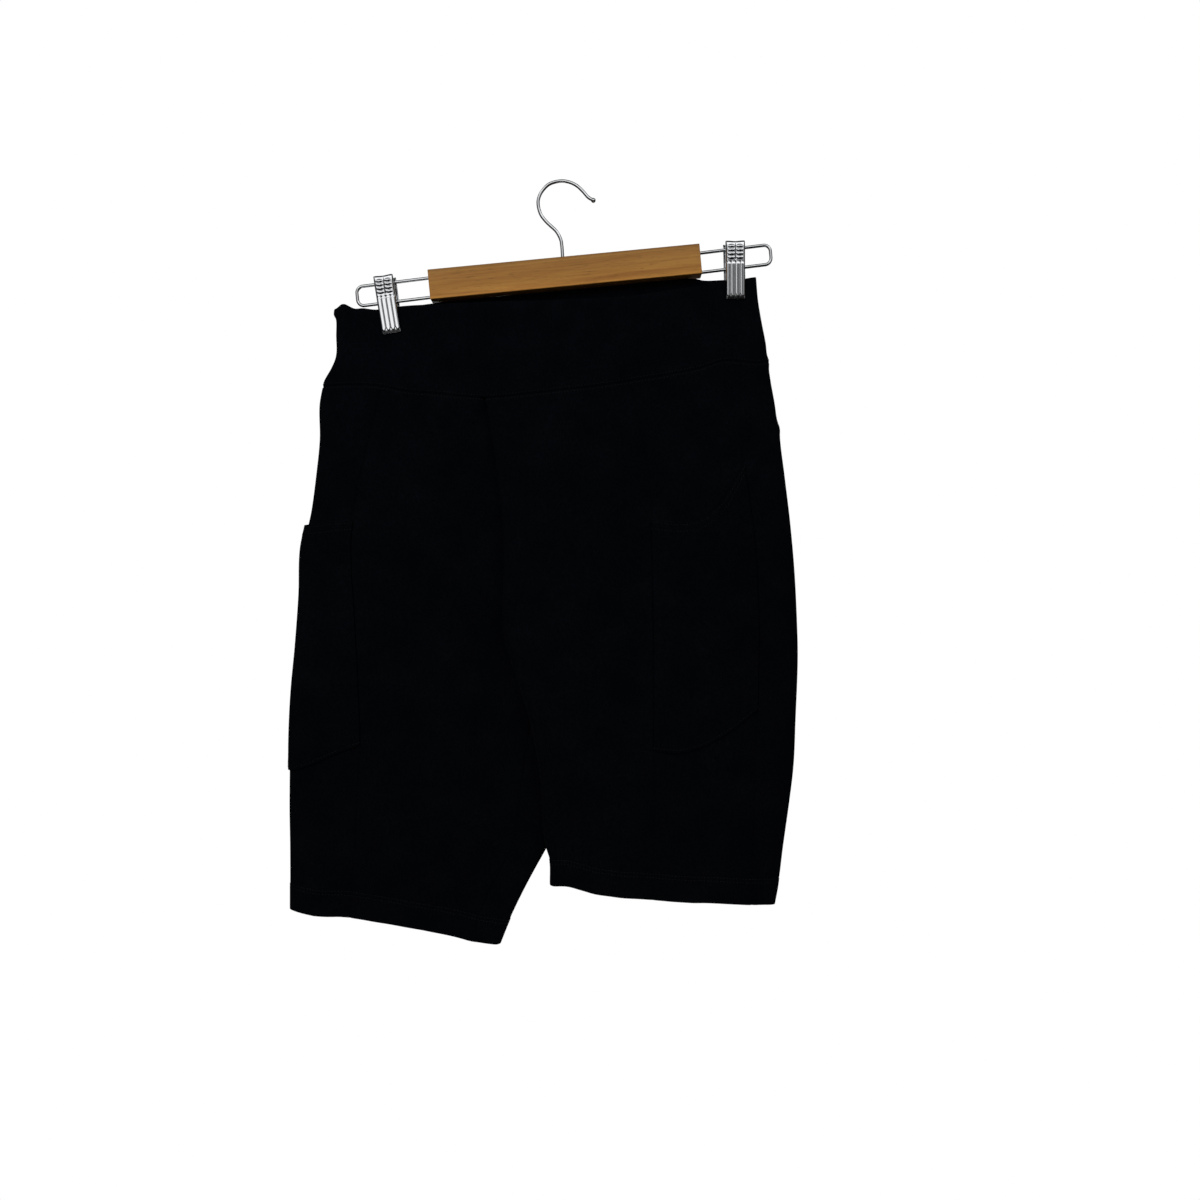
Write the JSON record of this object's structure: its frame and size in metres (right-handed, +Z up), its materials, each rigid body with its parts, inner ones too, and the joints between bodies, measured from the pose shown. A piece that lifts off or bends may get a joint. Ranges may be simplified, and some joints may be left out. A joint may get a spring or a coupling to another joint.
{
  "type": "athletic shorts on clip hanger",
  "caption": "Long-leg athletic shorts in dark stretch knit with a wide yoke waistband and side pockets, hung flat from a wooden clip hanger.",
  "frame": {"origin": "the inside top of the hanger's hook, where it rests on a rail or wall hook", "axes": "+Z up, the front of the shorts faces -Y, +X to the viewer's right"},
  "size_m": [0.4399, 0.029, 0.6602],
  "materials": {
    "knit": "matt near-black stretch knit",
    "bar_wood": "lacquered, fine straight grain",
    "plated_wire": "polished",
    "plated_sheet": "polished, embossed ribs on the front"
  },
  "bodies": {
    "root": {"waistband_front": "knit", "waistband_back": "knit", "front_panel_right": "knit", "front_panel_left": "knit", "side_panel_right": "knit", "side_panel_left": "knit", "back_panel_right": "knit", "back_panel_left": "knit", "pocket_right": "knit", "pocket_left": "knit", "hook": "plated_wire", "wood_bar": "bar_wood", "wire_loop_left": "plated_wire", "wire_loop_right": "plated_wire", "clip_left_front_plate": "plated_sheet", "clip_left_back_plate": "plated_sheet", "clip_left_spring": "plated_sheet", "clip_right_front_plate": "plated_sheet", "clip_right_back_plate": "plated_sheet", "clip_right_spring": "plated_sheet"}
  },
  "joints": []
}
